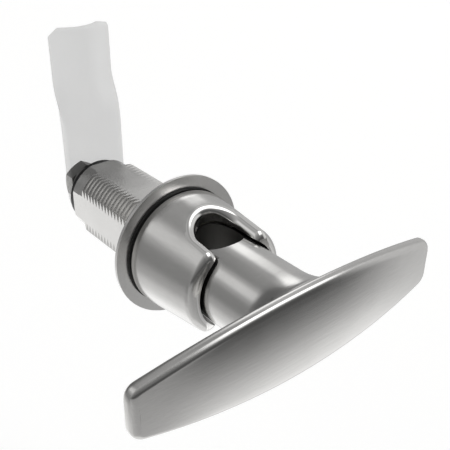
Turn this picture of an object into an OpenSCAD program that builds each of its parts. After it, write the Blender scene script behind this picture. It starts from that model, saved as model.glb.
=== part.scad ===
// T-handle compression latch for a panel, with a padlockable handle.
// The latch's axis runs along Y: the handle is toward -Y, the cam is behind the panel at +Y and points up.
// The origin is on the axis, at the back face of the flange, which rests on the panel's front.
// The latch is drawn closed: the bar lies level, the cam stands up and the shaft is drawn in.

/* [Threaded body] */
// Outside diameter of the thread
thread_d = 22; // [20.5:0.5:24]
// Distance from one thread crest to the next
thread_pitch = 1.5; // [1:0.25:2]
// Distance from the flange's back face to the end of the thread
thread_l = 31.5; // [31:0.5:45]
// Distance from the flange's back face to the first crest
first_crest = 0.9; // [0.6:0.1:1.5]
// Distance across the four flats of the body
flat_af = 18.6; // [18.4:0.2:20.2]
// Diameter of the plain neck at the body's rear end
neck_d = 20; // [19.4:0.2:20.6]
// Length of the plain neck
neck_l = 3.5; // [3:0.5:6]
// Bore through the body
body_bore_d = 17.2; // [17:0.1:17.6]
// Diameter of the flange
flange_d = 36.2; // [34:0.2:40]
// Thickness of the flange
flange_t = 0.8; // [0.6:0.1:1.5]
// Depth of the shallow relief round the thread in the flange's back face
relief_t = 0.2; // [0.1:0.1:0.3]
// Room on the radius between the thread and the edge of that relief
relief_room = 0.3; // [0.2:0.1:0.6]
// Diameter of the spigot that carries the cup
spigot_d = 26; // [25.5:0.1:26.6]
// Length of the spigot in front of the flange
spigot_l = 5.2; // [5:0.1:6]
// Depth of the groove at the spigot's foot that holds the seal ring
seal_groove = 1.6; // [1:0.1:2]

/* [Cup housing] */
// Length of the cup from its foot to its front rim
cup_l = 21.64; // [21:0.1:24]
// Diameter of the cup at its foot
cup_foot_d = 30.6; // [30:0.2:32]
// Diameter of the cup where the nose begins to round
cup_front_d = 26.9; // [26:0.1:28]
// Length of the rounded nose
cup_nose_l = 2.5; // [1.5:0.1:3]
// Length of the chamfer at the cup's foot
foot_chamfer_l = 2.3; // [1:0.1:3]
// Depth of the chamfer at the cup's foot
foot_chamfer_d = 0.5; // [0.2:0.1:0.8]
// Visible gap between the stem and the cup's front bore
cup_gap = 0.65; // [0.3:0.05:0.8]
// Room on each side between the padlock hole and the slots at the top and the bottom of the cup
slot_room = 0.25; // [0.2:0.05:0.6]
// How far the centre of a slot's round end lies in front of the padlock hole's centre
slot_shift = 0; // [0:0.1:0.6]
// Thickness of the seal ring between the flange and the cup
seal_t = 0.5; // [0.3:0.1:0.8]
// How far the seal ring's outside lies inside the widest part of the cup
seal_inset = 0.1; // [0:0.1:1]
// Diameter of the two pins that hold the cup on the spigot
cup_pin_d = 2; // [1.5:0.1:2.4]
// Angle from straight down to each cup pin
cup_pin_angle = 35; // [25:1:45]

/* [Handle] */
// Diameter of the stem
stem_d = 20.3; // [19.6:0.1:20.6]
// Distance from the flange's back face to the bar's front, at its middle
handle_reach = 46.1; // [42:0.1:60]
// Length of the bar
bar_l = 83.7; // [60:0.1:100]
// Height of the bar at its middle
bar_mid_h = 21.8; // [20.4:0.1:26]
// Height of the bar at its ends
bar_end_h = 11.4; // [8:0.1:16]
// Thickness of the bar
bar_t = 3.4; // [3:0.1:5]
// How far the bar's ends lie behind its middle
bar_sweep = 2.2; // [1:0.1:4]
// Radius of the corners at the bar's ends
bar_corner_r = 3.1; // [1:0.1:4]
// Radius of the fillet from the stem to the bar
bar_fillet = 4.5; // [2:0.1:6]
// Diameter of the padlock hole through the stem
lock_hole_d = 10.6; // [9:0.1:11]
// Distance from the flange's back face to the padlock hole
lock_hole_y = 16.4; // [16:0.1:17]

/* [Handle bearing] */
// Diameter of the collar that keeps the stem in the cup
collar_d = 23.8; // [23.2:0.1:24]
// Length of the collar
collar_l = 2.5; // [2.4:0.1:2.8]
// Gap between the collar and the chamber around it
chamber_gap = 0.3; // [0.2:0.05:0.4]
// Thickness of the thrust washer in front of the collar
thrust_washer_t = 0.45; // [0.3:0.05:0.6]
// Diameter of the journal at the stem's rear end
journal_d = 16; // [15.4:0.1:16.2]
// Length of the journal
journal_l = 9.6; // [9:0.1:9.8]
// Thickness of the bush's front flange
bush_flange_t = 0.55; // [0.4:0.05:0.8]
// Running clearance on the radius of the handle's bearings
run_gap = 0.05; // [0.02:0.01:0.1]
// Running clearance at the end faces of the handle's bearings
end_play = 0.05; // [0.02:0.01:0.1]
// Clearance on the radius of parts that are pushed into the bore
seat_gap = 0.02; // [0.01:0.01:0.03]
// Cross-section diameter of the stem's sealing ring
stem_ring_d = 1.5; // [1.2:0.1:1.6]

/* [Shaft] */
// Diameter of the shaft
shaft_d = 10; // [9.6:0.1:10.4]
// Distance across the squares at both ends of the shaft
square_af = 7; // [6.6:0.1:7.1]
// Clearance on each side of the squares
square_gap = 0.05; // [0.03:0.01:0.1]
// How far the shaft moves in as the handle closes
stroke = 4.5; // [3:0.1:5]
// Overlap that the front square keeps with its socket when the latch is open
square_grip = 5.5; // [4:0.1:6]
// Diameter of the follower pin through the shaft
follower_d = 3; // [2.5:0.1:3.2]
// Length of the follower pin
follower_l = 16.6; // [15.8:0.1:16.8]
// Clearance on the radius between the follower pin and its slot
follower_gap = 0.15; // [0.12:0.01:0.2]
// Inside diameter of the helix sleeve
sleeve_bore_d = 12; // [11.4:0.1:12.6]
// Wall that the helix sleeve keeps in front of and behind its slots
sleeve_wall = 2; // [1.5:0.1:2.5]
// Turning angle of the handle from closed to open
turn_angle = 90; // [60:5:90]
// Diameter of the small pin that stops the sleeve from turning
sleeve_pin_d = 1.6; // [1.2:0.1:1.8]

/* [Spring and rear bearing] */
// Diameter of the clip that the spring pushes on
clip_d = 14; // [13.8:0.1:14.6]
// Thickness of the clip
clip_t = 1; // [0.8:0.1:1.2]
// Depth of the clip's groove in the shaft
clip_groove = 0.7; // [0.5:0.1:0.9]
// Wire diameter of the spring
wire_d = 0.8; // [0.6:0.1:0.9]
// Number of turns of the spring
spring_turns = 3; // [2:1:3]
// Length of the rear bush
rear_bush_l = 6.7; // [6:0.1:7]
// Distance from the body's rear end to the retaining ring
ring_inset = 2.4; // [1.6:0.1:2.8]
// Cross-section diameter of the shaft's sealing ring
shaft_ring_d = 1.5; // [1.2:0.1:1.8]
// Thickness of the retaining ring behind the rear bush
ring_t = 0.8; // [0.6:0.1:1]
// Depth of the retaining ring's groove in the body
ring_groove = 0.3; // [0.2:0.05:0.4]

/* [Cam and its screw] */
// Diameter of the black spacer between the body and the cam
spacer_d = 18.4; // [16:0.1:20]
// Thickness of the black spacer
spacer_t = 1.6; // [1:0.1:3]
// Gap between the body's rear end and the spacer with the latch closed
spacer_gap = 0.3; // [0.2:0.1:1]
// Thickness of the cam
cam_t = 2.95; // [2.5:0.05:4]
// Width of the cam at the shaft
cam_base_w = 16.5; // [15:0.1:20]
// Width of the cam at its tip, measured along the curve
cam_tip_w = 17.4; // [14:0.1:18]
// Distance from the shaft's axis to the cam's tip
cam_l = 45.5; // [40:0.1:60]
// Height at which the cam's sides begin to curve back
curl_start = 17; // [12:0.5:20]
// Height from which the curve is full
curl_end = 33; // [26:0.5:36]
// Radius of the cam's front where the curve is full
curl_r = 11.4; // [10:0.1:20]
// Chamfer at the corners of the cam's tip
cam_chamfer = 1.6; // [0.8:0.1:3]
// Outside diameter of the flat washer
washer_d = 12; // [11:0.1:14]
// Thickness of the flat washer
washer_t = 1.8; // [1:0.1:2]
// Outside diameter of the lock washer
lock_washer_d = 10.2; // [9.4:0.1:11]
// Thickness of the lock washer
lock_washer_t = 1.6; // [1:0.1:2]
// Diameter of the cam's screw
screw_d = 6; // [5:0.1:6]
// Distance across the flats of the screw's head
head_af = 10; // [9:0.1:11]
// Height of the screw's head
head_h = 4; // [3:0.1:5]
// Length of the screw's shank under its head
screw_l = 12; // [10:0.5:14]
// Clearance on the radius of the screw's holes
screw_gap = 0.05; // [0.03:0.01:0.1]

/* [Hidden] */

// Fineness of round shapes
$fn = 96;
// Small overlap that makes cuts run past a face
eps = 0.2;
// Width of a thread's crest as a part of its pitch, and its depth as a part of its pitch
crest_share = 1 / 8;
thread_depth = 0.6134 * thread_pitch;
// Straight stretch of each seal groove beyond its ring
groove_room = 0.2;
// Chamfer on small edges
edge = 0.3;
// Lifts the bar's corner circles a little, so that they cross the long arcs instead of just touching them
corner_lift = 0.02;
// How far the cup pins end below the cup's outside, and the wall left between them and the body's bore
cup_pin_sink = 0.6;
cup_pin_wall = 1.6;
// Gap between the handle's journal and the helix sleeve, and between the sleeve and the spring's clip
sleeve_gap = 0.4;
clip_gap = 1.7;
// Place of the sleeve's pin behind the sleeve's front, and how far the pin stays inside its hole at each end
sleeve_pin_wall = 1;
sleeve_pin_sink = 0.2;
// How far the front square runs past the journal, and the room in front of it in its socket
square_run = 0.5;
socket_room = 1;
// How far the rear square ends inside the cam
square_sink = 0.2;
// Wall of the rear bush behind its sealing ring
bush_wall = 1.2;
// Clearance on the radius of rings, washers and the spring
ring_gap = 0.05;
lock_washer_gap = 0.1;
washer_gap = 0.2;
// Width of the retaining ring, of the opening between its ears, and the radii of the ears and their holes
ring_w = 1.5;
ring_opening = 4;
ear_r = 1.2;
ear_hole_r = 0.5;
// Width of the lock washer's slit
washer_slit = 1;
// Chamfer of the screw's head
head_chamfer = 0.6;
// How much smaller than the collar the bush's flange is on the radius
flange_step = 0.4;
// Number of steps that form the helix slots
helix_steps = 18;
// Sides of the spring wire and rings along each turn
wire_sides = 6;
wire_rings = 12;
// Rows and columns of the cam's curved part
curl_rows = 10;
curl_columns = 12;

// Places along the axis, from the front to the rear
spigot_y = -(flange_t + spigot_l);
cup_foot_y = -(flange_t + seal_t);
cup_front_y = cup_foot_y - cup_l;
collar_rear_y = spigot_y - bush_flange_t - end_play;
collar_front_y = collar_rear_y - collar_l;
washer_rear_y = collar_front_y - end_play;
shoulder_y = washer_rear_y - thrust_washer_t;
journal_end_y = collar_rear_y + journal_l;
bar_back_y = bar_t - handle_reach;
sleeve_y = journal_end_y + sleeve_gap;
follower_y = sleeve_y + sleeve_wall + follower_d / 2;
sleeve_end_y = follower_y + stroke + follower_d / 2 + sleeve_wall;
clip_y = sleeve_end_y + clip_gap;
spring_y = clip_y + clip_t;
body_end_y = thread_l + neck_l;
ring_y = body_end_y - ring_inset;
rear_bush_y = ring_y - rear_bush_l;
spring_l = rear_bush_y - spring_y;
spacer_y = body_end_y + spacer_gap;
cam_y = spacer_y + spacer_t;
cam_washer_y = cam_y + cam_t;
lock_washer_y = cam_washer_y + washer_t;
head_y = lock_washer_y + lock_washer_t;
shaft_front_y = journal_end_y - stroke - square_grip;
front_square_end_y = journal_end_y + square_run;
socket_y = shaft_front_y - socket_room;
rear_square_end_y = cam_washer_y - square_sink;

// Radii
stem_r = stem_d / 2;
cup_bore_r = stem_r + cup_gap;
collar_r = collar_d / 2;
chamber_r = collar_r + chamber_gap;
body_bore_r = body_bore_d / 2;
seal_inner_r = spigot_d / 2 - seal_groove;
seat_r = body_bore_r - seat_gap;
journal_r = journal_d / 2;
shaft_r = shaft_d / 2;
spring_r = clip_d / 2 - wire_d / 2 - 0.1;
follower_slot_r = follower_d / 2 + follower_gap;
bar_half_l = bar_l / 2;

// Turned solid about the latch's axis, from points given as [radius, place along Y]
module turned(points) {
    rotate([-90, 0, 0])
        rotate_extrude()
            polygon([for (p = points) [p[0], p[1]]]);
}

// Cylinder along the axis from y0 to y1
module bar_y(r, y0, y1) {
    translate([0, y0, 0])
        rotate([-90, 0, 0])
            cylinder(r = r, h = y1 - y0);
}

// Tube along the axis from y0 to y1
module tube_y(r_out, r_in, y0, y1) {
    difference() {
        bar_y(r_out, y0, y1);
        bar_y(r_in, y0 - eps, y1 + eps);
    }
}

// Square bar along the axis from y0 to y1
module square_y(across, y0, y1) {
    translate([-across / 2, y0, -across / 2])
        cube([across, y1 - y0, across]);
}

// Round ring with a round cross-section, centred on the axis at y
module seal_ring(mean_r, section_r, y) {
    translate([0, y, 0])
        rotate([-90, 0, 0])
            rotate_extrude()
                translate([mean_r, 0])
                    circle(r = section_r, $fn = 32);
}

// Threaded outside as turned rings: crests and roots follow one another at the pitch
module thread_form() {
    half_crest = thread_pitch * crest_share / 2;
    flank = thread_depth * tan(30);
    crest_r = thread_d / 2;
    root_r = crest_r - thread_depth;
    turns = floor((thread_l - first_crest - 0.5) / thread_pitch);
    crests = [for (i = [0 : turns - 1], y = first_crest + i * thread_pitch) each [
        [root_r, y - half_crest - flank],
        [crest_r, y - half_crest],
        [crest_r, y + half_crest],
        [root_r, y + half_crest + flank]
    ]];
    start_y = -flange_t / 2;
    turned(concat([[0, start_y], [root_r, start_y]], crests, [[root_r, thread_l], [0, thread_l]]));
}

module threaded_body() {
    color([0.66, 0.66, 0.67])
    difference() {
        union() {
            intersection() {
                union() {
                    thread_form();
                    turned([[0, thread_l - eps], [neck_d / 2, thread_l - eps],
                        [neck_d / 2, body_end_y - edge], [neck_d / 2 - edge, body_end_y], [0, body_end_y]]);
                }
                square_y(flat_af, -flange_t, body_end_y + eps);
            }
            difference() {
                bar_y(flange_d / 2, -flange_t, 0);
                bar_y(thread_d / 2 + relief_room, -relief_t, eps);
            }
            bar_y(spigot_d / 2, spigot_y, cup_foot_y);
            bar_y(seal_inner_r, spigot_y, -flange_t / 2);
        }
        bar_y(body_bore_r, spigot_y - eps, body_end_y + eps);
        bar_y(body_bore_r + ring_groove, ring_y, ring_y + ring_t + end_play);
        sleeve_pin_hole();
        for (a = [-1, 1])
            cup_pin_shape(a, 0);
    }
}

// Radial hole at the bottom for the pin that stops the sleeve
module sleeve_pin_hole() {
    translate([0, sleeve_pin_y(), -flat_af / 2 - eps])
        cylinder(d = sleeve_pin_d, h = flat_af / 2 - sleeve_bore_d / 2 + eps);
}

// The pin stands clear of the front end of the slots
function sleeve_pin_y() = sleeve_y + sleeve_pin_wall + sleeve_pin_d / 2;

// Cup pin on one side of straight down; reach carries its hole on to the outside
module cup_pin_shape(side, reach) {
    inner = body_bore_r + cup_pin_wall;
    outer = cup_foot_d / 2 - cup_pin_sink;
    translate([0, (cup_foot_y + spigot_y) / 2 - 0.2, 0])
        rotate([0, 180 + side * cup_pin_angle, 0])
            translate([0, 0, inner])
                cylinder(d = cup_pin_d, h = outer - inner + reach);
}

// Outside of the cup: a tapered wall with a chamfered foot and a nose rounded like a quarter of an ellipse
function cup_outline() =
    let (nose_y = cup_front_y + cup_nose_l,
        front_r = cup_front_d / 2,
        rim_r = cup_bore_r + 0.1)
    concat(
        [[0, cup_foot_y], [cup_foot_d / 2 - foot_chamfer_d, cup_foot_y]],
        [[cup_foot_d / 2 - 0.15, cup_foot_y - foot_chamfer_l]],
        [for (a = [0 : 10 : 90]) [rim_r + (front_r - rim_r) * cos(a), nose_y - cup_nose_l * sin(a)]],
        [[0, cup_front_y]]
    );

module cup_housing() {
    color([0.74, 0.74, 0.75])
    difference() {
        turned(cup_outline());
        bar_y(cup_bore_r, cup_front_y - eps, cup_foot_y + eps);
        bar_y(chamber_r, shoulder_y, cup_foot_y + eps);
        bar_y(spigot_d / 2, spigot_y, cup_foot_y + eps);
        padlock_slots();
        for (a = [-1, 1])
            cup_pin_shape(a, 2 * cup_pin_sink);
    }
}

// Two slots, at the top and the bottom, with a round rear end and an open front
module padlock_slots() {
    reach = cup_foot_d;
    slot_w = lock_hole_d + 2 * slot_room;
    slot_y = -lock_hole_y - slot_shift;
    translate([0, slot_y, -reach / 2])
        cylinder(d = slot_w, h = reach);
    translate([-slot_w / 2, cup_front_y - eps, -reach / 2])
        cube([slot_w, slot_y - cup_front_y + eps, reach]);
}

module cup_seal() {
    color([0.05, 0.05, 0.05])
    tube_y(cup_foot_d / 2 - seal_inset, seal_inner_r, cup_foot_y, -flange_t);
}

module cup_pins() {
    color([0.6, 0.6, 0.62])
    for (a = [-1, 1])
        cup_pin_shape(a, 0);
}

module handle_bush() {
    color([0.9, 0.9, 0.86])
    difference() {
        union() {
            bar_y(collar_r - flange_step, spigot_y - bush_flange_t, spigot_y);
            bar_y(seat_r, spigot_y - bush_flange_t, journal_end_y - 0.2);
        }
        bar_y(journal_r + run_gap, spigot_y - 2, journal_end_y + eps);
    }
}

module thrust_washer() {
    color([0.9, 0.9, 0.86])
    tube_y(chamber_r - ring_gap, stem_r + run_gap, shoulder_y, washer_rear_y);
}

// Places of the follower pin along its helix, from closed to open, each as [angle, place along Y]
function helix_places() =
    [for (i = [0 : helix_steps]) [i * turn_angle / helix_steps, follower_y + i * stroke / helix_steps]];

module helix_sleeve() {
    color([0.55, 0.55, 0.57])
    difference() {
        tube_y(seat_r, sleeve_bore_d / 2, sleeve_y, sleeve_end_y);
        for (place = helix_places())
            translate([0, place[1], 0])
                rotate([0, -place[0], 0])
                    rotate([0, 90, 0])
                        cylinder(r = follower_slot_r, h = body_bore_d + 2, center = true, $fn = 48);
        sleeve_pin_hole();
    }
}

module sleeve_pin() {
    color([0.6, 0.6, 0.62])
    translate([0, sleeve_pin_y(), -flat_af / 2 + sleeve_pin_sink])
        cylinder(d = sleeve_pin_d, h = flat_af / 2 - sleeve_bore_d / 2 - 2 * sleeve_pin_sink);
}

module rear_bush() {
    groove_w = shaft_ring_d + groove_room;
    groove_y = ring_y - bush_wall - groove_w;
    color([0.72, 0.6, 0.36])
    difference() {
        bar_y(seat_r, rear_bush_y, ring_y);
        bar_y(shaft_r + run_gap, rear_bush_y - eps, ring_y + eps);
        bar_y(shaft_r + shaft_ring_d + ring_gap, groove_y, groove_y + groove_w);
    }
}

module shaft_seal() {
    groove_w = shaft_ring_d + groove_room;
    color([0.05, 0.05, 0.05])
    seal_ring(shaft_r + shaft_ring_d / 2 + 0.02, shaft_ring_d / 2 - 0.01, ring_y - bush_wall - groove_w / 2);
}

// Open ring with two ears, seated in the groove behind the rear bush
module retaining_ring() {
    inner_r = body_bore_r - ring_w;
    color([0.35, 0.35, 0.37])
    difference() {
        union() {
            tube_y(body_bore_r + ring_groove - ring_gap, inner_r, ring_y, ring_y + ring_t);
            for (side = [-1, 1])
                translate([side * (ring_opening / 2 + 1), 0, -inner_r + 0.2])
                    bar_y(ear_r, ring_y, ring_y + ring_t);
        }
        translate([-ring_opening / 2, ring_y - eps, -body_bore_r - 2])
            cube([ring_opening, ring_t + 2 * eps, 6]);
        for (side = [-1, 1])
            translate([side * (ring_opening / 2 + 1), 0, -inner_r + 0.2])
                bar_y(ear_hole_r, ring_y - eps, ring_y + ring_t + eps);
    }
}

// Radius of the arc whose ends lie this far along and back from its middle
function arc_radius(half_length, rise) = (half_length * half_length + rise * rise) / (2 * rise);

// Outline of the bar seen from the front: two long arcs, straight ends and corners that run on from the arcs
module bar_outline() {
    big_r = arc_radius(bar_half_l, (bar_mid_h - bar_end_h) / 2);
    corner_x = bar_half_l - bar_corner_r;
    drop = big_r - bar_mid_h / 2;
    corner_z = sqrt(pow(big_r - bar_corner_r, 2) - pow(corner_x, 2)) - drop + corner_lift;
    meet_x = corner_x * big_r / (big_r - bar_corner_r);
    intersection() {
        translate([0, -drop])
            circle(r = big_r, $fn = 720);
        translate([0, drop])
            circle(r = big_r, $fn = 720);
        union() {
            square([2 * meet_x, bar_mid_h + 1], center = true);
            square([bar_l, 2 * corner_z], center = true);
            for (side = [-1, 1])
                for (up = [-1, 1])
                    translate([side * corner_x, up * corner_z])
                        circle(r = bar_corner_r);
        }
    }
}

// Bar seen from above: front and back are arcs with one centre, bar_t apart
module bar_plan() {
    front_r = arc_radius(bar_half_l, bar_sweep);
    centre_y = front_r - handle_reach;
    intersection() {
        difference() {
            translate([0, centre_y])
                circle(r = front_r, $fn = 720);
            translate([0, centre_y])
                circle(r = front_r - bar_t, $fn = 720);
        }
        translate([-bar_half_l - 2, -handle_reach - 1])
            square([bar_l + 4, bar_sweep + bar_t + 2]);
    }
}

// Stretches the flat outline of the bar along Y
module bar_block(y0, y1) {
    translate([0, y1, 0])
        rotate([90, 0, 0])
            linear_extrude(y1 - y0)
                bar_outline();
}

// Stem widened to the bar by a hollow fillet
function fillet_points() =
    let (start_y = bar_back_y + bar_fillet)
    concat(
        [[0, bar_back_y - 1], [stem_r + bar_fillet, bar_back_y - 1]],
        [for (a = [0 : 10 : 80])
            [stem_r + bar_fillet * (1 - sin(a)), start_y - bar_fillet * cos(a)]],
        [[stem_r - 0.2, start_y + 0.2], [0, start_y + 0.2]]
    );

module t_handle() {
    stem_groove_w = stem_ring_d + groove_room;
    groove_mid_y = (collar_rear_y + collar_front_y) / 2;
    color([0.74, 0.74, 0.75])
    difference() {
        union() {
            intersection() {
                bar_block(-handle_reach - 1, bar_back_y + bar_sweep + bar_fillet + 1);
                union() {
                    translate([0, 0, -bar_mid_h])
                        linear_extrude(2 * bar_mid_h)
                            bar_plan();
                    turned(fillet_points());
                }
            }
            bar_y(stem_r, bar_back_y - 1, collar_rear_y);
            bar_y(collar_r, collar_front_y, collar_rear_y);
            bar_y(journal_r, collar_rear_y - 0.5, journal_end_y);
        }
        // Padlock hole, straight up and down through the stem
        translate([0, -lock_hole_y, -stem_r - eps])
            cylinder(d = lock_hole_d, h = stem_d + 2 * eps);
        // Groove for the sealing ring in the collar
        difference() {
            bar_y(collar_r + eps, groove_mid_y - stem_groove_w / 2, groove_mid_y + stem_groove_w / 2);
            bar_y(chamber_r - stem_ring_d - ring_gap, groove_mid_y - stem_groove_w, groove_mid_y + stem_groove_w);
        }
        // Square socket that turns the shaft
        square_y(square_af + 2 * square_gap, socket_y, journal_end_y + eps);
    }
}

module stem_seal() {
    color([0.05, 0.05, 0.05])
    seal_ring(chamber_r - stem_ring_d / 2 - 0.02, stem_ring_d / 2 - 0.01, (collar_rear_y + collar_front_y) / 2);
}

module drive_shaft() {
    color([0.6, 0.6, 0.62])
    difference() {
        intersection() {
            bar_y(shaft_r, shaft_front_y, rear_square_end_y);
            union() {
                square_y(square_af, shaft_front_y, rear_square_end_y);
                bar_y(shaft_r + eps, front_square_end_y, cam_y);
            }
        }
        translate([0, follower_y, 0])
            rotate([0, 90, 0])
                cylinder(d = follower_d, h = shaft_d + 2, center = true);
        tube_y(shaft_r + eps, shaft_r - clip_groove, clip_y, clip_y + clip_t);
        bar_y(screw_d / 2 + screw_gap, head_y - screw_l - 1, rear_square_end_y + eps);
    }
}

module follower_pin() {
    color([0.5, 0.5, 0.52])
    translate([0, follower_y, 0])
        rotate([0, 90, 0])
            cylinder(d = follower_d, h = follower_l, center = true);
}

// Clip in the shaft's groove, open on one side
module spring_clip() {
    inner_r = shaft_r - clip_groove;
    color([0.35, 0.35, 0.37])
    difference() {
        tube_y(clip_d / 2, inner_r, clip_y, clip_y + clip_t);
        translate([-inner_r, clip_y - eps, 0])
            cube([2 * inner_r, clip_t + 2 * eps, clip_d]);
    }
}

// Points of the wire's centre line and of its skin
function wire_point(t) =
    let (a = 360 * t)
    [spring_r * cos(a), spring_y + wire_d / 2 + (spring_l - wire_d) * t / spring_turns, spring_r * sin(a)];
function wire_skin(t, s) =
    let (a = 360 * t, b = 360 * s / wire_sides, c = wire_point(t))
    [c[0] + wire_d / 2 * cos(b) * cos(a), c[1] + wire_d / 2 * sin(b), c[2] + wire_d / 2 * cos(b) * sin(a)];
// Clear distance between one turn of the wire and the next
echo(least_spring_gap = (spring_l - wire_d) / spring_turns - wire_d);

module return_spring() {
    rings = spring_turns * wire_rings;
    points = [for (i = [0 : rings]) each [for (s = [0 : wire_sides - 1]) wire_skin(i / wire_rings, s)]];
    sides = [for (i = [0 : rings - 1]) each [for (s = [0 : wire_sides - 1]) each
        let (a = i * wire_sides + s, b = i * wire_sides + (s + 1) % wire_sides)
        [[a, b, a + wire_sides], [b, b + wire_sides, a + wire_sides]]]];
    first_cap = [for (s = [1 : wire_sides - 2]) [0, s + 1, s]];
    last = rings * wire_sides;
    last_cap = [for (s = [1 : wire_sides - 2]) [last, last + s, last + s + 1]];
    color([0.6, 0.6, 0.62])
    polyhedron(points, concat(sides, first_cap, last_cap));
}

module cam_spacer() {
    color([0.04, 0.04, 0.04])
    tube_y(spacer_d / 2, shaft_r + ring_gap, spacer_y, cam_y);
}

// Share of the full curve at height z: none at the start, all at the end, with a soft change at both
function curl_share(z) =
    let (t = min(max((z - curl_start) / (curl_end - curl_start), 0), 1))
    t * t * (3 - 2 * t);

// Half of the cam's width at height z, measured along the curve, with the corner chamfers
function cam_half_w(z) =
    (cam_base_w + (cam_tip_w - cam_base_w) * curl_share(z)) / 2 - max(z - cam_l + cam_chamfer, 0);

// Point of the cam at height z: across runs from -1 to 1, deep is 0 at the front and cam_t at the back
function cam_point(z, across, deep) =
    let (share = max(curl_share(z), 0.0005),
        r = curl_r / share,
        a = across * cam_half_w(z) / (r - cam_t / 2) * 180 / PI)
    [(r - deep) * sin(a), cam_y + r - (r - deep) * cos(a), z];

// Upper part of the cam, whose sides curve back more and more toward the tip
module cam_blade() {
    row_h = (curl_end - curl_start) / curl_rows;
    rows = concat([curl_start - eps], [for (i = [0 : curl_rows]) curl_start + i * row_h],
        [cam_l - cam_chamfer, cam_l]);
    around = 2 * curl_columns + 2;
    points = [for (z = rows) each concat(
        [for (i = [0 : curl_columns]) cam_point(z, 2 * i / curl_columns - 1, 0)],
        [for (i = [0 : curl_columns]) cam_point(z, 1 - 2 * i / curl_columns, cam_t)])];
    skin = [for (j = [0 : len(rows) - 2], i = [0 : around - 1])
        let (a = j * around + i, b = j * around + (i + 1) % around)
        each [[a, b + around, b], [a, a + around, b + around]]];
    top = (len(rows) - 1) * around;
    caps = [for (i = [0 : curl_columns - 1])
        let (k = around - 1 - i)
        each [[i, i + 1, k], [i + 1, k - 1, k],
            [top + i, top + k, top + i + 1], [top + i + 1, top + k, top + k - 1]]];
    polyhedron(points, concat(skin, caps));
}

module cam() {
    color([0.83, 0.83, 0.84])
    difference() {
        union() {
            bar_y(cam_base_w / 2, cam_y, cam_y + cam_t);
            translate([-cam_base_w / 2, cam_y, 0])
                cube([cam_base_w, cam_t, curl_start]);
            cam_blade();
        }
        square_y(square_af + 2 * square_gap, cam_y - eps, cam_y + cam_t + eps);
    }
}

module cam_washer() {
    color([0.7, 0.7, 0.72])
    tube_y(washer_d / 2, screw_d / 2 + washer_gap, cam_washer_y, lock_washer_y);
}

// Spring washer with its slit
module lock_washer() {
    color([0.55, 0.55, 0.57])
    difference() {
        tube_y(lock_washer_d / 2, screw_d / 2 + lock_washer_gap, lock_washer_y, head_y);
        translate([-washer_slit / 2, lock_washer_y - eps, 0])
            cube([washer_slit, lock_washer_t + 2 * eps, lock_washer_d]);
    }
}

module cam_screw() {
    corner_r = head_af / 2 / cos(30) + 0.1;
    color([0.55, 0.55, 0.57])
    union() {
        intersection() {
            translate([0, head_y, 0])
                rotate([-90, 0, 0])
                    rotate([0, 0, 30])
                        cylinder(d = head_af / cos(30), h = head_h, $fn = 6);
            turned([[0, head_y], [corner_r, head_y], [corner_r, head_y + head_h - head_chamfer],
                [head_af / 2, head_y + head_h], [0, head_y + head_h]]);
        }
        bar_y(screw_d / 2, head_y - screw_l, head_y + 0.5);
    }
}

threaded_body();
cup_housing();
cup_seal();
cup_pins();
handle_bush();
thrust_washer();
helix_sleeve();
sleeve_pin();
rear_bush();
shaft_seal();
retaining_ring();
t_handle();
stem_seal();
drive_shaft();
follower_pin();
spring_clip();
return_spring();
cam_spacer();
cam();
cam_washer();
lock_washer();
cam_screw();
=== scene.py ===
# %% [markdown]
# # A T-handle compression latch
#
# This latch closes a door or a panel. A hand turns the T-bar, a shaft inside turns and slides, and the cam
# behind the panel swings up and pulls the door tight. The lesson starts from the latch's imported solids,
# gives the pieces that show a finer shape, and then finishes every surface.
#
# Lengths are written in millimetres and multiplied by MM, because Blender works in metres.

# %% Load the frame
import math

import bmesh
import bpy
from mathutils import Matrix, Vector


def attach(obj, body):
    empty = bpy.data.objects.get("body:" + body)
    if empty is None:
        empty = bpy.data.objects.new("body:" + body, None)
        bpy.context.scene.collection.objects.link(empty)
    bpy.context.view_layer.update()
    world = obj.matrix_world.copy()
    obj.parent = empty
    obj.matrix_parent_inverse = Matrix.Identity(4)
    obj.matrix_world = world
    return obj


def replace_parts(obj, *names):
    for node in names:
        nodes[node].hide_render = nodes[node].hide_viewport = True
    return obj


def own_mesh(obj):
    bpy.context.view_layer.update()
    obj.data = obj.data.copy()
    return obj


MM = 0.001
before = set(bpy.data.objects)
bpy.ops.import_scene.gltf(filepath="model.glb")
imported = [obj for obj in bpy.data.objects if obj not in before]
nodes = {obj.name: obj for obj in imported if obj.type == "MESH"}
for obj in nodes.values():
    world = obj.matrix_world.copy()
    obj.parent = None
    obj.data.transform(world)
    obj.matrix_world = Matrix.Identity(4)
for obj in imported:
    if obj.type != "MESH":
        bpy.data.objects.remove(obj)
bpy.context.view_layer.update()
scene = bpy.context.scene
print("nodes:", len(nodes))

# %% [markdown]
# ## The camera
#
# A product picture like this one is taken from the front, the left and above. The camera's place and its
# three directions were worked out from the edges of the round parts, so they are written as plain vectors.

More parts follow.
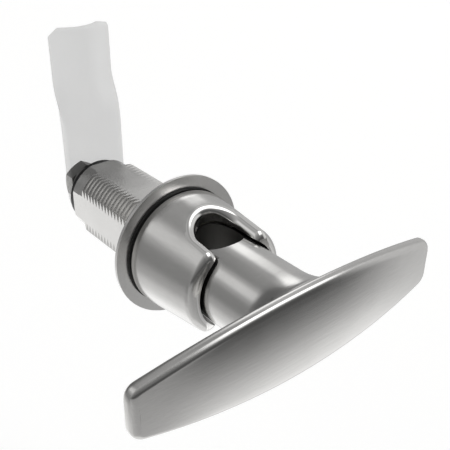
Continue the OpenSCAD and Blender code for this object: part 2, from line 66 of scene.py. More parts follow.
# %% Camera
CAMERA_PLACE = Vector((-88.269, -123.649, 90.935)) * MM
CAMERA_RIGHT = Vector((0.7708, -0.63698, 0.01063))
CAMERA_BACK = Vector((-0.55872, -0.6679, 0.49168))
LENS = 57.18
SENSOR = 36
camera_up = CAMERA_BACK.cross(CAMERA_RIGHT).normalized()
camera_right = camera_up.cross(CAMERA_BACK).normalized()
camera_data = bpy.data.cameras.new("camera")
camera_data.sensor_fit = "HORIZONTAL"
camera_data.sensor_width = SENSOR
camera_data.lens = LENS
camera_data.clip_start = 0.01
camera_data.clip_end = 20
camera = bpy.data.objects.new("camera", camera_data)
scene.collection.objects.link(camera)
turn = Matrix((camera_right, camera_up, CAMERA_BACK.normalized())).transposed()
camera.matrix_world = Matrix.Translation(CAMERA_PLACE) @ turn.to_4x4()
scene.camera = camera
scene.view_settings.view_transform = "Standard"

# %% [markdown]
# ## Helpers for modelling
#
# Blender's operators act on whatever is selected. So each helper first clears the selection, then selects
# one piece, and leaves edit mode when it is done.

# %% Selection helpers
def pick(piece):
    """Selects one piece alone and makes it active, in object mode."""
    if bpy.context.object and bpy.context.object.mode != "OBJECT":
        bpy.ops.object.mode_set(mode="OBJECT")
    bpy.ops.object.select_all(action="DESELECT")
    piece.select_set(True)
    bpy.context.view_layer.objects.active = piece
    return piece


def edit(piece, kind="VERT"):
    """Opens a piece in edit mode with nothing selected."""
    pick(piece)
    bpy.ops.object.mode_set(mode="EDIT")
    bpy.ops.mesh.select_mode(type=kind)
    bpy.ops.mesh.select_all(action="DESELECT")


def choose(piece, kind, test):
    """In edit mode, selects the vertices, edges or faces that pass a test."""
    bpy.ops.mesh.select_mode(type=kind)
    bpy.ops.mesh.select_all(action="DESELECT")
    shape = bmesh.from_edit_mesh(piece.data)
    parts = {"VERT": shape.verts, "EDGE": shape.edges, "FACE": shape.faces}[kind]
    for part in parts:
        if test(part):
            part.select = True
    shape.select_flush_mode()
    bmesh.update_edit_mesh(piece.data)


def apply_modifier(piece, kind, **settings):
    """Adds a modifier with its settings and applies it at once."""
    pick(piece)
    modifier = piece.modifiers.new("step", kind)
    for name, value in settings.items():
        setattr(modifier, name, value)
    bpy.ops.object.modifier_apply(modifier=modifier.name)


def cut(piece, tool, operation="DIFFERENCE"):
    """Cuts a piece with a tool, or joins the tool to it, and removes the tool."""
    apply_modifier(piece, "BOOLEAN", object=tool, operation=operation, solver="EXACT")
    bpy.data.objects.remove(tool, do_unlink=True)


def smooth(piece, angle=35):
    """Smooth shading that keeps edges sharper than the angle."""
    pick(piece)
    bpy.ops.object.shade_smooth_by_angle(angle=math.radians(angle))


def place_in_mesh(piece):
    """Writes the object's place, turn and scale into its mesh."""
    pick(piece)
    bpy.ops.object.transform_apply(location=True, rotation=True, scale=True)


# %% [markdown]
# ## Turned pieces
#
# The cup, the stem and the flange are turned on a lathe. Here a circle is added at the first ring, and then
# each further ring is an extrusion of the last one along the axis, scaled to its radius. That is how one
# would model it by hand, and it gives clean rings of four-sided faces.

# %% A helper that turns a piece ring by ring
def turned(name, rings, segments=128, tube=False):
    """rings are (radius, place along Y) in millimetres. A tube's last ring is bridged to its first one."""
    radius, place = rings[0]
    bpy.ops.object.select_all(action="DESELECT")
    bpy.ops.mesh.primitive_circle_add(
        vertices=segments, radius=radius * MM, location=(0, place * MM, 0), rotation=(math.pi / 2, 0, 0))
    piece = bpy.context.object
    piece.name = name
    place_in_mesh(piece)
    bpy.ops.object.mode_set(mode="EDIT")
    bpy.ops.mesh.select_mode(type="EDGE")
    bpy.ops.mesh.select_all(action="SELECT")
    if not tube:
        bpy.ops.mesh.edge_face_add()
        bpy.ops.mesh.select_mode(type="FACE")
    for new_radius, new_place in rings[1:]:
        bpy.ops.mesh.extrude_region_move(TRANSFORM_OT_translate={"value": (0, (new_place - place) * MM, 0)})
        ratio = new_radius / radius
        bpy.ops.transform.resize(value=(ratio, 1, ratio), center_override=(0, new_place * MM, 0))
        radius, place = new_radius, new_place
    if tube:
        last = bmesh.from_edit_mesh(piece.data)
        ends = [edge for edge in last.edges if len(edge.link_faces) == 1]
        for edge in ends:
            edge.select = True
        bmesh.update_edit_mesh(piece.data)
        bpy.ops.mesh.bridge_edge_loops()
    bpy.ops.mesh.select_all(action="SELECT")
    bpy.ops.mesh.normals_make_consistent(inside=False)
    bpy.ops.object.mode_set(mode="OBJECT")
    return piece


def block(name, low, high):
    """A box between two corners, in millimetres."""
    bpy.ops.object.select_all(action="DESELECT")
    size = [(b - a) * MM for a, b in zip(low, high)]
    middle = [(a + b) / 2 * MM for a, b in zip(low, high)]
    bpy.ops.mesh.primitive_cube_add(size=1, location=middle)
    piece = bpy.context.object
    piece.name = name
    piece.scale = size
    place_in_mesh(piece)
    return piece


def slice_along(piece, axis, places):
    """Cuts extra edge loops across a piece at places along one axis, in millimetres."""
    edit(piece)
    normal = [0, 0, 0]
    normal[axis] = 1
    for place in places:
        bpy.ops.mesh.select_all(action="SELECT")
        point = [0, 0, 0]
        point[axis] = place * MM
        bpy.ops.mesh.bisect(plane_co=point, plane_no=normal, use_fill=False)
    bpy.ops.object.mode_set(mode="OBJECT")


# %% [markdown]
# ## The handle
#
# The real handle is one casting: a bowed bar and a round stem with a hollow fillet between them. Seen from
# the front, the bar's outline is two long arcs with round corners. A box is cut into slices along its
# length, and each slice is scaled to the outline's height there, with close slices round the corners.

# %% The bar's outline
BAR_HALF = 41.85
BAR_MID_HALF_H = 10.9
BAR_END_HALF_H = 5.7
BAR_FRONT = -46.09
BAR_T = 3.4
BAR_SWEEP = 2.2
BAR_CORNER = 3.1
FRONT_ROUND = 1.5
BACK_ROUND = 0.9
CROWN = 0.8
ARC_STATIONS = 24
CORNER_STATIONS = 9
CROWN_COLUMNS = 11


def arc_radius(length, drop):
    return (length * length + drop * drop) / (2 * drop)


def arc_drop(x, length, drop):
    """How far a flat arc has dropped at x, when it drops this much over this length."""
    radius = arc_radius(length, drop)
    return radius - math.sqrt(radius * radius - x * x)


edge_r = arc_radius(BAR_HALF, BAR_MID_HALF_H - BAR_END_HALF_H)
corner_x = BAR_HALF - BAR_CORNER
corner_z = math.sqrt((edge_r - BAR_CORNER) ** 2 - corner_x ** 2) - (edge_r - BAR_MID_HALF_H)
arc_end = corner_x * edge_r / (edge_r - BAR_CORNER)
outline = [(x, BAR_MID_HALF_H - arc_drop(x, BAR_HALF, BAR_MID_HALF_H - BAR_END_HALF_H))
           for x in (arc_end * i / ARC_STATIONS for i in range(ARC_STATIONS + 1))]
first_angle = math.degrees(math.asin((arc_end - corner_x) / BAR_CORNER))
for i in range(1, CORNER_STATIONS + 1):
    a = math.radians(first_angle + (90 - first_angle) * i / CORNER_STATIONS)
    outline.append((corner_x + BAR_CORNER * math.sin(a), corner_z + BAR_CORNER * math.cos(a)))
bar = block("t_handle_form", (-BAR_HALF, BAR_FRONT + FRONT_ROUND, -BAR_MID_HALF_H),
            (BAR_HALF, BAR_FRONT + BAR_T - BACK_ROUND, BAR_MID_HALF_H))
slice_along(bar, 0, [side * x for x, _ in outline[:-1] for side in (1, -1) if x > 0 or side > 0])
edit(bar)
for x, half in outline:
    choose(bar, "VERT", lambda v: abs(abs(v.co.x) - x * MM) < 1e-5)
    bpy.ops.transform.resize(value=(1, 1, half / BAR_MID_HALF_H), center_override=(0, 0, 0))
bpy.ops.object.mode_set(mode="OBJECT")
print("bar outline:", len(outline), "stations a side")

# %% [markdown]
# The rims are rounded without a bevel, which would stumble over the close slices. The front faces are inset
# again and again, a little less inwards and a little more forwards each time, so that the steps follow a
# quarter circle. The front rim's round is the wider one, because it catches the long white highlight. The
# back gets the same.


# %% Rounded rims, crown and bow
def round_rim(piece, sign, radius, steps):
    """Rounds the rim of the faces that look along sign times Y."""
    choose(piece, "FACE", lambda f: f.normal.y * sign > 0.9)
    for i in range(steps):
        a, b = (math.pi / 2 * k / steps for k in (i, i + 1))
        bpy.ops.mesh.inset(
            thickness=radius * (math.cos(a) - math.cos(b)) * MM,
            depth=radius * (math.sin(b) - math.sin(a)) * MM, use_even_offset=True, use_boundary=True)


edit(bar)
round_rim(bar, -1, FRONT_ROUND, 7)
choose(bar, "EDGE", lambda e: all(v.co.y < (BAR_FRONT + 0.01) * MM for v in e.verts)
       and abs(e.verts[0].co.z - e.verts[1].co.z) > 2 * MM)
bpy.ops.mesh.subdivide(number_cuts=CROWN_COLUMNS)
round_rim(bar, 1, BACK_ROUND, 4)
bpy.ops.object.mode_set(mode="OBJECT")
for vertex in bar.data.vertices:
    x, y, z = vertex.co / MM
    forward = min(1.0, max(0.0, (BAR_FRONT + BAR_T - y) / BAR_T))
    vertex.co.y += (arc_drop(x, BAR_HALF, BAR_SWEEP) + CROWN * (z / BAR_MID_HALF_H) ** 2 * forward) * MM
print("bar:", len(bar.data.vertices), "vertices")

# %% [markdown]
# The stem is turned. Its front end flares into the bar, wide towards the bar's ends and hardly at all above
# and below, where the bar is only a little higher than the stem. The padlock hole goes straight through.

# %% The stem
STEM_R = 10.15
FILLET = 6.5
FLARE_STEPS = 10
FLARE_INSET = 0.15
FLARE_SINK = 1.2
COLLAR_R = 11.9
SEAL_GROOVE_R = 10.65
JOURNAL_R = 8.0
JOURNAL_END_Y = 3.0
SOCKET_HALF = 3.55
SOCKET_DEPTH_Y = -8
FLARE_RISE = (BAR_MID_HALF_H - FLARE_INSET - STEM_R) / FILLET
bar_back = BAR_FRONT + BAR_T
flare = []
for i in range(FLARE_STEPS + 1):
    a = math.pi / 2 * i / FLARE_STEPS
    flare.append((STEM_R + FILLET * (1 - math.sin(a)), bar_back + FILLET - FILLET * math.cos(a)))
stem_rings = [(STEM_R + FILLET, bar_back - FLARE_SINK)] + flare + [
    (STEM_R, -30), (STEM_R, -22.5), (STEM_R, -9.15), (COLLAR_R, -9.15), (COLLAR_R, -8.75),
    (SEAL_GROOVE_R, -8.75), (SEAL_GROOVE_R, -7.0), (COLLAR_R, -7.0), (COLLAR_R, -6.6),
    (JOURNAL_R, -6.6), (JOURNAL_R, JOURNAL_END_Y)]
stem = turned("stem", stem_rings, segments=144)
for vertex in stem.data.vertices:
    x, y, z = vertex.co / MM
    radius = math.hypot(x, z)
    if y < bar_back + FILLET and radius > STEM_R:
        vertex.co.z *= (STEM_R + (radius - STEM_R) * FLARE_RISE) / radius
cut(stem, bar, "UNION")
handle = stem
handle.name = "handle_with_stem"

# %% The padlock hole and the socket
LOCK_HOLE_R = 5.3
LOCK_HOLE_Y = -16.4
bpy.ops.object.select_all(action="DESELECT")
bpy.ops.mesh.primitive_cylinder_add(
    vertices=96, radius=LOCK_HOLE_R * MM, depth=30 * MM, location=(0, LOCK_HOLE_Y * MM, 0))
hole = bpy.context.object
place_in_mesh(hole)
cut(handle, hole)
cut(handle, block(
    "socket", (-SOCKET_HALF, SOCKET_DEPTH_Y, -SOCKET_HALF), (SOCKET_HALF, JOURNAL_END_Y + 1, SOCKET_HALF)))
smooth(handle)
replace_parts(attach(handle, "handle"), "t_handle")
print("handle:", len(handle.data.polygons), "faces")

# %% [markdown]
# ## The cup
#
# The cup is turned too, with a slot from the top and another from below for a padlock. The slot's edge has
# a wide polished round, as if a ball had been rolled along it. A bevel can't follow a cut edge that well,
# so the round is built into the cutting tool: its skin is laid out point by point along the slot's U, and
# at each point it bends outwards on an arc that meets the cup's outside.

# %% The cup's outline
CUP_FOOT_Y = -1.3
CUP_FRONT_Y = -22.94
CUP_NOSE_Y = -20.44
CUP_FOOT_R = 15.15
CUP_NOSE_R = 13.45
CUP_RIM_R = 10.9
CUP_BORE_R = 10.8
CUP_WIDEST_Y = -3.6
SHOULDER_Y = -9.6
COLLAR_ROOM_R = 12.2
SPIGOT_END_Y = -6.0
SPIGOT_R = 13.0
NOSE_STEPS = 12


def cup_radius(y):
    """Outside radius of the cup at y."""
    if y >= CUP_NOSE_Y:
        share = (y - CUP_WIDEST_Y) / (CUP_NOSE_Y - CUP_WIDEST_Y)
        return CUP_FOOT_R + (CUP_NOSE_R - CUP_FOOT_R) * max(0.0, share)
    depth = min(1.0, (CUP_NOSE_Y - y) / (CUP_NOSE_Y - CUP_FRONT_Y))
    return CUP_RIM_R + (CUP_NOSE_R - CUP_RIM_R) * math.sqrt(1 - depth * depth)


cup_rings = [(SPIGOT_R, CUP_FOOT_Y), (14.5, CUP_FOOT_Y), (14.72, -1.4), (14.9, -1.9), (15.05, -2.6),
             (CUP_FOOT_R, CUP_WIDEST_Y)]
cup_rings += [(cup_radius(y), y) for y in (-5.5, -7.5, -9.5, -11.5, -13.5, -15.5, -17.5, -19.2)]
for i in range(NOSE_STEPS + 1):
    a = math.pi / 2 * i / NOSE_STEPS
    cup_rings.append((CUP_RIM_R + (CUP_NOSE_R - CUP_RIM_R) * math.cos(a),
                      CUP_NOSE_Y + (CUP_FRONT_Y - CUP_NOSE_Y) * math.sin(a)))
cup_rings += [(CUP_BORE_R, CUP_FRONT_Y + 0.1), (CUP_BORE_R, SHOULDER_Y), (COLLAR_ROOM_R, SHOULDER_Y),
              (COLLAR_ROOM_R, SPIGOT_END_Y), (SPIGOT_R, SPIGOT_END_Y)]
cup = turned("cup_form", cup_rings, segments=180, tube=True)

# %% The slot's cutting tool
SLOT_HALF = 5.55
SLOT_END_Y = -16.4
LIP = 1.9
LIP_STEPS = 9
LIP_SHARE = 0.95
SLOT_START_Y = -26.0
ARM_STEPS = 44
END_STEPS = 36
TOOL_INNER_Z = 4.0
TOOL_OUTER_Z = 20.0
SKIN_RUN = 1.5


def slot_path():
    """Points of the U as (x, y, sideways direction), from the left arm round the end to the right arm."""
    arm = [SLOT_START_Y + (SLOT_END_Y - SLOT_START_Y) * i / ARM_STEPS for i in range(ARM_STEPS)]
    path = [(-SLOT_HALF, y, (-1.0, 0.0)) for y in arm]
    for i in range(END_STEPS + 1):
        a = math.pi - math.pi * i / END_STEPS
        out = (math.cos(a), math.sin(a))
        path.append((SLOT_HALF * out[0], SLOT_END_Y + SLOT_HALF * out[1], out))
    path += [(SLOT_HALF, y, (1.0, 0.0)) for y in reversed(arm)]
    return path


def slot_tool(side):
    """The cutting tool of one slot; side is 1 for the top and -1 for the bottom."""
    path = slot_path()
    levels = [[] for _ in range(LIP_STEPS + 4)]
    for x, y, (out_x, out_y) in path:
        cx, cy = x + LIP * out_x, y + LIP * out_y
        inner = cup_radius(cy) - LIP
        cz = math.sqrt(max(1.0, inner * inner - cx * cx))
        wall = Vector((-out_x, -out_y, 0))
        skin = Vector((cx, 0, cz)).normalized()
        angle = wall.angle(skin)
        levels[0].append(Vector((x, y, TOOL_INNER_Z)))
        for i in range(LIP_STEPS + 1):
            t = LIP_SHARE * i / LIP_STEPS
            blend = (wall * math.sin((1 - t) * angle) + skin * math.sin(t * angle)) / math.sin(angle)
            levels[i + 1].append(Vector((cx, cy, cz)) + blend * LIP)
        levels[-2].append(levels[-3][-1] + skin * SKIN_RUN)
        levels[-1].append(Vector((levels[-2][-1].x, levels[-2][-1].y, TOOL_OUTER_Z)))
    count = len(path)
    points = [(p.x * MM, p.y * MM, side * p.z * MM) for level in levels for p in level]
    faces = []
    for k in range(len(levels) - 1):
        for i in range(count):
            j = (i + 1) % count
            faces.append((k * count + i, k * count + j, (k + 1) * count + j, (k + 1) * count + i))
    faces.append(tuple(reversed(range(count))))
    faces.append(tuple((len(levels) - 1) * count + i for i in range(count)))
    mesh = bpy.data.meshes.new("slot_tool")
    mesh.from_pydata(points, [], faces)
    tool = bpy.data.objects.new("slot_tool", mesh)
    scene.collection.objects.link(tool)
    edit(tool)
    bpy.ops.mesh.select_all(action="SELECT")
    bpy.ops.mesh.normals_make_consistent(inside=False)
    bpy.ops.object.mode_set(mode="OBJECT")
    return tool


for side in (1, -1):
    cut(cup, slot_tool(side))
smooth(cup)
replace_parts(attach(cup, "housing"), "cup_housing")
print("cup:", len(cup.data.polygons), "faces")

# %% [markdown]
# ## The cam
#
# The cam is a strip of steel with a round lower end. Above the shaft its sides curve back more and more, so
# that the tip is like a shallow gutter, and its round front slides over the door frame. A box is cut into
# rows and columns, and each point is then laid on the curve that its row has.

# %% The cam plate
CAM_Y = 36.9
CAM_T = 2.95
CAM_HALF = 8.25
CAM_TIP_HALF = 8.7
CAM_TOP = 45.5
CAM_CHAMFER = 1.6
CURL_START = 17.0
CURL_END = 33.0
CURL_R = 11.4
CAM_COLUMNS = 20
CAM_EDGE = 0.3


def ease(t):
    t = min(1.0, max(0.0, t))
    return t * t * (3 - 2 * t)


def cam_half(z):
    """Half the cam's width at height z, along the curve."""
    if z < 0:
        return math.sqrt(max(0.3, CAM_HALF * CAM_HALF - z * z))
    curl = ease((z - CURL_START) / (CURL_END - CURL_START))
    return CAM_HALF + (CAM_TIP_HALF - CAM_HALF) * curl - max(0.0, z - CAM_TOP + CAM_CHAMFER)


cam = block("cam_form", (-CAM_HALF, CAM_Y, -CAM_HALF), (CAM_HALF, CAM_Y + CAM_T, CAM_TOP))
slice_along(cam, 0, [CAM_HALF * (2 * i / CAM_COLUMNS - 1) for i in range(1, CAM_COLUMNS)])
round_end = [-CAM_HALF * math.cos(math.radians(a)) for a in range(8, 91, 8)]
slice_along(cam, 2, round_end + [4, 8, 12] + list(range(16, 36)) + [38, 41, CAM_TOP - CAM_CHAMFER])
for vertex in cam.data.vertices:
    x, y, z = vertex.co / MM
    along = x / CAM_HALF * cam_half(z)
    curl = ease((z - CURL_START) / (CURL_END - CURL_START))
    deep = y - CAM_Y
    if curl > 0:
        radius = CURL_R / curl
        a = along / (radius - CAM_T / 2)
        along = (radius - deep) * math.sin(a)
        deep = radius - (radius - deep) * math.cos(a)
    vertex.co = Vector((along, CAM_Y + deep, z)) * MM
cut(cam, block(
    "square", (-SOCKET_HALF, CAM_Y - 1, -SOCKET_HALF), (SOCKET_HALF, CAM_Y + CAM_T + 1, SOCKET_HALF)))
apply_modifier(
    cam, "BEVEL", width=CAM_EDGE * MM, segments=2, limit_method="ANGLE", angle_limit=math.radians(50))
smooth(cam)
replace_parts(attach(cam, "shaft"), "cam")
print("cam:", len(cam.data.polygons), "faces")

# %% [markdown]
# ## The return spring
#
# The spring sits between a clip on the shaft and the rear bush. When the handle turns, the shaft moves back
# and the spring gets shorter. Here it rides on the shaft.

# %% A spring that rides on the shaft
spring = bpy.data.objects.new("return_spring_wound", nodes["return_spring"].data.copy())
scene.collection.objects.link(spring)
spring.matrix_world = nodes["return_spring"].matrix_world.copy()
along = [(spring.matrix_world @ vertex.co).y / MM for vertex in spring.data.vertices]
place_in_mesh(spring)
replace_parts(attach(spring, "shaft"), "return_spring")
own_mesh(spring)
print("spring:", round(min(along), 2), "to", round(max(along), 2), "mm along the shaft")

# %% [markdown]
# ## Materials
#
# Colours are given as sRGB hex values, as a colour picker shows them, and one function turns them to the
# linear values that Blender works with. Another small function adds a node with its settings and links.

# %% Colour and node helpers
def colour(hex_value):
    channels = [int(hex_value[i:i + 2], 16) / 255 for i in (1, 3, 5)]
    return [c / 12.92 if c <= 0.04045 else ((c + 0.055) / 1.055) ** 2.4 for c in channels] + [1.0]


def add(tree, kind, inputs=None, **settings):
    """Adds a node. Inputs that are sockets are linked, and others are set."""
    node = tree.nodes.new(kind)
    for name, value in settings.items():
        setattr(node, name, value)
    for name, value in (inputs or {}).items():
        if isinstance(value, bpy.types.NodeSocket):
            tree.links.new(value, node.inputs[name])
        else:
            node.inputs[name].default_value = value
    return node


def steel(name, light, dark, roughness, stretch, grain_mm, scratch, alpha=1.0, front_roughness=None):
    """Metal with fine lines. stretch gives how short the lines are along X, Y and Z. What lies in front
    of the panel can have a roughness of its own."""
    material = bpy.data.materials.new(name)
    material.use_nodes = True
    tree = material.node_tree
    tree.nodes.clear()
    coord = add(tree, "ShaderNodeTexCoord")
    lines_place = add(tree, "ShaderNodeMapping", {"Vector": coord.outputs["Object"], "Scale": stretch})
    lines = add(tree, "ShaderNodeTexNoise", {
        "Vector": lines_place.outputs["Vector"], "Scale": 1 / (grain_mm * MM), "Detail": 3.0,
        "Roughness": 0.6})
    clouds = add(tree, "ShaderNodeTexNoise", {
        "Vector": coord.outputs["Object"], "Scale": 1 / (9 * MM), "Detail": 2.0})
    tone = add(tree, "ShaderNodeMix", {"Factor": lines.outputs["Fac"]}, data_type="RGBA")
    tone.inputs[6].default_value = colour(dark)
    tone.inputs[7].default_value = colour(light)
    rough = add(tree, "ShaderNodeMapRange", {
        "Value": clouds.outputs["Fac"], "From Min": 0.3, "From Max": 0.7,
        "To Min": roughness - 0.03, "To Max": roughness + 0.03})
    roughnesses = rough.outputs["Result"]
    if front_roughness:
        place = add(tree, "ShaderNodeSeparateXYZ", {"Vector": coord.outputs["Object"]})
        roughnesses = add(tree, "ShaderNodeMapRange", {
            "Value": place.outputs["Y"], "From Min": 0.02 * MM, "From Max": 0.1 * MM,
            "To Min": front_roughness, "To Max": rough.outputs["Result"]}).outputs["Result"]
    bump = add(tree, "ShaderNodeBump", {
        "Height": lines.outputs["Fac"], "Strength": scratch, "Distance": 0.02 * MM})
    shader = add(tree, "ShaderNodeBsdfPrincipled", {
        "Base Color": tone.outputs[2], "Metallic": 1.0, "Roughness": roughnesses,
        "Normal": bump.outputs["Normal"], "Alpha": alpha})
    add(tree, "ShaderNodeOutputMaterial", {"Surface": shader.outputs["BSDF"]})
    return material


# %% [markdown]
# The handle and the cup are stainless steel, sanded and then brushed fine, so they give long soft
# highlights. The lines run along the bar. They are really about 0.05 mm apart, and are drawn at 0.3 mm so
# that they show. The threaded body comes from the lathe and is as smooth, but its flange is duller and
# evenly grey. The cam is the same steel, drawn as a pale ghost as in the picture, so that one sees the
# screw behind it.

# %% Metals
handle_steel = steel("stainless_brushed_lengthwise", "#D4D3D1", "#C6C5C3", 0.18, (0.04, 1.0, 1.0), 0.3, 0.25)
cup_steel = steel("stainless_satin", "#D4D3D1", "#C8C7C5", 0.19, (1.0, 0.2, 1.0), 0.5, 0.15)
lip_steel = steel("stainless_polished", "#E6E5E3", "#DEDDDB", 0.07, (1.0, 0.2, 1.0), 0.5, 0.05)
# The drilled material's darker grey is painted shade for the inside of the padlock hole and the bore, on top
# of its rougher drilled finish.
drilled_steel_painted_shade = steel("stainless_drilled_painted_shade", "#9A9997", "#8A8987", 0.4, (1.0, 1.0, 0.2), 0.4, 0.2)
body_steel = steel(
    "stainless_machined", "#E6E5E3", "#D8D7D5", 0.24, (1.0, 0.3, 1.0), 0.4, 0.06, front_roughness=0.36)
cam_steel = steel(
    "stainless_sheet_ghosted", "#A8A8A7", "#9E9E9D", 0.35, (1.0, 1.0, 0.1), 0.5, 0.2, alpha=0.23)
dark_steel = steel("steel_screw_plain", "#B4B3B1", "#A3A2A0", 0.3, (1.0, 0.3, 1.0), 0.4, 0.2)
bronze = steel("bronze_bush_turned", "#C9A15C", "#B58C4A", 0.3, (1.0, 0.3, 1.0), 0.4, 0.2)


# %% Rubber and plastic
def plain(name, light, dark, roughness, grain_mm, bump_strength):
    """Rubber or plastic: a slightly uneven colour and a fine grain."""
    material = bpy.data.materials.new(name)
    material.use_nodes = True
    tree = material.node_tree
    tree.nodes.clear()
    coord = add(tree, "ShaderNodeTexCoord")
    grain = add(tree, "ShaderNodeTexNoise", {
        "Vector": coord.outputs["Object"], "Scale": 1 / (grain_mm * MM), "Detail": 3.0})
    tone = add(tree, "ShaderNodeMix", {"Factor": grain.outputs["Fac"]}, data_type="RGBA")
    tone.inputs[6].default_value = colour(dark)
    tone.inputs[7].default_value = colour(light)
    bump = add(tree, "ShaderNodeBump", {
        "Height": grain.outputs["Fac"], "Strength": bump_strength, "Distance": 0.03 * MM})
    shader = add(tree, "ShaderNodeBsdfPrincipled", {
        "Base Color": tone.outputs[2], "Roughness": roughness, "Normal": bump.outputs["Normal"]})
    add(tree, "ShaderNodeOutputMaterial", {"Surface": shader.outputs["BSDF"]})
    return material


# Black rubber for the seals. On the cup's seal ring this black is also painted shade for the thin gap
# between the cup and the flange.
black_rubber_and_gap_shade = plain("rubber_black_and_gap_shade", "#141414", "#0A0A0A", 0.5, 0.4, 0.3)
black_plastic = plain("nylon_black_moulded", "#161616", "#0C0C0C", 0.45, 0.4, 0.2)
white_plastic = plain("acetal_natural_turned", "#E2E2DA", "#D6D6CE", 0.4, 0.4, 0.2)

# %% Give every piece its finish
# The cup's seal ring is black rubber, and its black also stands in for the shade in the gap between the cup
# and the flange: painted shade.
finishes = {
    "threaded_body": body_steel, "cup_seal": black_rubber_and_gap_shade, "cup_pins": dark_steel,
    "handle_bush": white_plastic, "thrust_washer": white_plastic, "helix_sleeve": dark_steel,
    "sleeve_pin": dark_steel, "rear_bush": bronze, "shaft_seal": black_rubber_and_gap_shade,
    "retaining_ring": dark_steel, "stem_seal": black_rubber_and_gap_shade, "drive_shaft": dark_steel,
    "follower_pin": dark_steel, "spring_clip": dark_steel,
    "cam_spacer": black_plastic, "cam_washer": dark_steel, "lock_washer": dark_steel,
    "cam_screw": dark_steel,
}


def finish(piece, material):
    piece.data.materials.clear()
    piece.data.materials.append(material)


for name, material in finishes.items():
    finish(nodes[name], material)
finish(handle, handle_steel)
finish(cup, cup_steel)
finish(cam, cam_steel)
finish(spring, dark_steel)


def slot_distance(c):
    """How far a place lies outside the slot's U, seen from above or below."""
    return abs(c.x) - SLOT_HALF if c.y < SLOT_END_Y else math.hypot(c.x, c.y - SLOT_END_Y) - SLOT_HALF


def in_lock_hole(c):
    return math.hypot(c.x, c.y - LOCK_HOLE_Y) < LOCK_HOLE_R + 0.05 and abs(c.z) < STEM_R - 0.05


def in_bore(c):
    return math.hypot(c.x, c.z) < CUP_BORE_R + 0.05 and c.y > CUP_FRONT_Y + 0.3


def on_lip(c):
    """The slot's round: inside the cup's skin, outside the slot's wall and clear of the bore."""
    radius = math.hypot(c.x, c.z)
    innermost = CUP_BORE_R + 0.1 if c.y < SHOULDER_Y - 0.1 else COLLAR_ROOM_R + 0.2
    return slot_distance(c) > 0.01 and innermost < radius < cup_radius(c.y) - 0.02


# The hole's wall and the cup's bore are rough as the drill left them, and darker, as painted shade inside
# these recesses; the slot's round is polished
for piece, inside, material in (
        (handle, in_lock_hole, drilled_steel_painted_shade), (cup, in_bore, drilled_steel_painted_shade), (cup, on_lip, lip_steel)):
    index = len(piece.data.materials)
    piece.data.materials.append(material)
    found = [face for face in piece.data.polygons if inside(face.center / MM)]
    for face in found:
        face.material_index = index
    print(piece.name, material.name, len(found), "faces")

# %% [markdown]
# ## The studio
#
# Metal shows what stands round it, so the studio is built round the latch as soft panels, some white, some
# grey and some dark. They hang far out on one big ball and are painted on it by direction. Behind the
# handle they are strips that run along the latch's axis, so one angle round the axis is enough. In front of
# it they change with height only: white below, dark at the height of the bar and a bright panel above.

# %% Directions
BALL_R = 8.0
bpy.ops.object.select_all(action="DESELECT")
bpy.ops.mesh.primitive_ico_sphere_add(subdivisions=4, radius=BALL_R)
ball = bpy.context.object
ball.name = "panel_ball"
soft_panels = bpy.data.materials.new("cloth_panels_lit")
soft_panels.use_nodes = True
sky = soft_panels.node_tree
sky.nodes.clear()
coord = add(sky, "ShaderNodeTexCoord")
direction = add(sky, "ShaderNodeVectorMath", {0: coord.outputs["Object"]}, operation="NORMALIZE")
split = add(sky, "ShaderNodeSeparateXYZ", {"Vector": direction.outputs[0]})
to_left = add(sky, "ShaderNodeMath", {0: split.outputs["X"], 1: -1.0}, operation="MULTIPLY")
ahead = add(sky, "ShaderNodeMath", {0: split.outputs["Y"], 1: -1.0}, operation="MULTIPLY")
round_axis = add(sky, "ShaderNodeMath", {0: to_left.outputs[0], 1: split.outputs["Z"]}, operation="ARCTAN2")
height = add(sky, "ShaderNodeMath", {0: split.outputs["Z"], 1: ahead.outputs[0]}, operation="ARCTAN2")

# %% Panels
STRIP_SCALE = 2.5
# Behind: angle round the axis, from straight up towards the left, and how bright the studio is there
REAR_STRIPS = [(-180, 1.3), (-140, 0.75), (-110, 0.45), (-80, 0.5), (-66, 0.6), (-54, 1.7), (-36, 1.7),
               (-22, 0.6), (-5, 0.36), (20, 0.3), (32, 0.5), (41, 0.95), (54, 0.95), (64, 0.5), (78, 0.32),
               (98, 0.3), (120, 0.5), (145, 0.85), (180, 1.3)]
# The same for directions that lean more to the side than back: the bright panel overhead has ended there
SIDE_STRIPS = [(-180, 1.3), (-140, 0.75), (-110, 0.5), (-80, 0.6), (-50, 0.56), (-34, 0.62), (-20, 0.35),
               (-6, 0.45), (20, 0.4), (41, 0.8), (54, 0.8), (64, 0.5), (78, 0.32), (98, 0.3), (120, 0.5),
               (145, 0.85), (180, 1.3)]
# And for directions that lean straight back: dark above, light below on the left
BACK_STRIPS = [(-180, 1.3), (-140, 0.8), (-110, 0.45), (-80, 0.32), (-60, 0.25), (0, 0.16), (60, 0.15),
               (92, 0.22),
               (112, 0.6), (128, 0.95), (180, 1.3)]
# In front: angle above the horizon
FRONT_PANELS = [(-90, 1.3), (-70, 1.25), (-64, 1.16), (-59, 1.0), (-54, 0.79), (-48.4, 0.58), (-43, 0.4),
                (-37.5, 0.23), (-33, 0.13), (-12, 0.1), (19, 0.1), (34, 0.2), (90, 0.5)]
TOP_PANEL = [(-90, 0), (36, 0), (52, 1.3), (60, 2.2), (80, 2.2), (90, 0.6)]


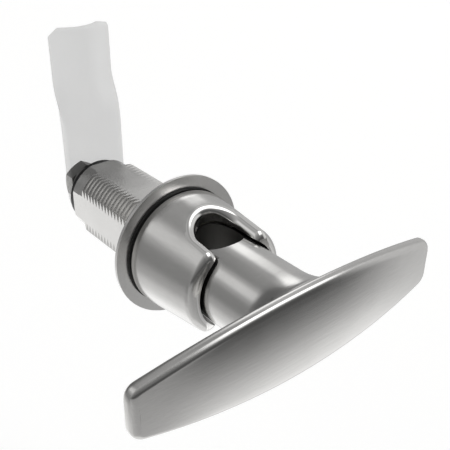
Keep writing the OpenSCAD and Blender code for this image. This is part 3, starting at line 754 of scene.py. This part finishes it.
def panels(source, stops, reach):
    """A ramp over an angle from -reach to reach. Its colours go up to one, so values are stored smaller."""
    share = add(sky, "ShaderNodeMapRange", {
        "Value": source, "From Min": -math.radians(reach), "From Max": math.radians(reach)})
    ramp = add(sky, "ShaderNodeValToRGB", {"Fac": share.outputs["Result"]})
    ramp.color_ramp.interpolation = "EASE"
    points = ramp.color_ramp.elements
    while len(points) > 1:
        points.remove(points[-1])
    for i, (degrees, strength) in enumerate(stops):
        place = (degrees + reach) / (2 * reach)
        point = points[0] if i == 0 else points.new(place)
        point.position = place
        value = strength / STRIP_SCALE
        point.color = (value, value, value, 1)
    return ramp.outputs["Color"]


def between(axis, start, end, low=0.0, high=1.0):
    """Goes softly from low to high while the direction's part along an axis goes from start to end."""
    return add(sky, "ShaderNodeMapRange", {
        "Value": split.outputs[axis], "From Min": start, "From Max": end, "To Min": low, "To Max": high},
        interpolation_type="SMOOTHSTEP").outputs["Result"]


def mixed(share, first, second, kind="MIX"):
    """Mixes two colours; a number stands for a grey."""
    mix = add(sky, "ShaderNodeMix", {"Factor": share}, data_type="RGBA", blend_type=kind)
    for socket, value in ((mix.inputs[6], first), (mix.inputs[7], second)):
        if isinstance(value, bpy.types.NodeSocket):
            sky.links.new(value, socket)
        else:
            socket.default_value = (value / STRIP_SCALE,) * 3 + (1,)
    return mix.outputs[2]


rear = mixed(between("Y", 0.57, 0.64), panels(round_axis.outputs[0], SIDE_STRIPS, 180),
             panels(round_axis.outputs[0], REAR_STRIPS, 180))
rear = mixed(between("Y", 0.69, 0.74), rear, panels(round_axis.outputs[0], BACK_STRIPS, 180))
low = panels(height.outputs[0], FRONT_PANELS, 90)
left = mixed(between("Z", 0.05, -0.1), low, 0.5)
front = mixed(between("X", 0.4, 0.25, 0, 0.85), mixed(between("X", 0.66, 0.83), low, 0.75), left)
top = mixed(between("X", 0.12, 0.34), 0, panels(height.outputs[0], TOP_PANEL, 90))
front = mixed(between("X", 0.74, 0.66), front, top, "ADD")
room = mixed(between("Y", 0.1, -0.2), rear, front)

# %% [markdown]
# The ball is open straight below, and there the metal shows the white room itself. The camera, and light
# that passes through a piece, look through the panels everywhere.

# %% The ball's surface
path = add(sky, "ShaderNodeLightPath")
seen_through = add(sky, "ShaderNodeMath", {
    0: path.outputs["Is Camera Ray"], 1: path.outputs["Is Transmission Ray"]}, operation="MAXIMUM")
opening = add(sky, "ShaderNodeMath", {
    0: seen_through.outputs[0], 1: between("Z", -0.9, -0.95)}, operation="MAXIMUM")
lit = add(sky, "ShaderNodeEmission", {"Color": room, "Strength": STRIP_SCALE})
clear = add(sky, "ShaderNodeBsdfTransparent")
surface = add(sky, "ShaderNodeMixShader", {0: opening.outputs[0]})
sky.links.new(lit.outputs[0], surface.inputs[1])
sky.links.new(clear.outputs[0], surface.inputs[2])
add(sky, "ShaderNodeOutputMaterial", {"Surface": surface.outputs[0]})
finish(ball, soft_panels)

# %% [markdown]
# The room round it all is plain white for every ray, as a product picture has behind it.

# %% World
world = bpy.data.worlds.new("white_room")
scene.world = world
world.use_nodes = True
world.node_tree.nodes.clear()
white = add(world.node_tree, "ShaderNodeBackground", {"Color": (1, 1, 1, 1), "Strength": 1.0})
add(world.node_tree, "ShaderNodeOutputWorld", {"Surface": white.outputs[0]})

# %% [markdown]
# ## The floor
#
# The floor lies well below the latch, as under a product that hangs in a light tent. It is matt paper: part
# of what it gives to the eye is light that falls on it, so it keeps a faint shadow, and the rest makes it
# white. Reflections look through it, to the panels and the white room below.

# %% The floor
FLOOR_Z = -110
FLOOR_SIZE = 3
FLOOR_GLOW = 0.7
bpy.ops.object.select_all(action="DESELECT")
bpy.ops.mesh.primitive_grid_add(
    x_subdivisions=4, y_subdivisions=4, size=FLOOR_SIZE, location=(0, 0, FLOOR_Z * MM))
floor = bpy.context.object
floor.name = "floor"
place_in_mesh(floor)
paper = bpy.data.materials.new("paper_white_matt")
paper.use_nodes = True
tree = paper.node_tree
tree.nodes.clear()
path = add(tree, "ShaderNodeLightPath")
matt = add(tree, "ShaderNodeBsdfDiffuse", {"Color": colour("#BDBDBC")})
glow = add(tree, "ShaderNodeEmission", {"Color": (1, 1, 1, 1), "Strength": FLOOR_GLOW})
sheet = add(tree, "ShaderNodeAddShader")
tree.links.new(matt.outputs[0], sheet.inputs[0])
tree.links.new(glow.outputs[0], sheet.inputs[1])
clear = add(tree, "ShaderNodeBsdfTransparent")
surface = add(tree, "ShaderNodeMixShader", {0: path.outputs["Is Camera Ray"]})
tree.links.new(clear.outputs[0], surface.inputs[1])
tree.links.new(sheet.outputs[0], surface.inputs[2])
add(tree, "ShaderNodeOutputMaterial", {"Surface": surface.outputs[0]})
finish(floor, paper)
print("floor at", FLOOR_Z, "mm")
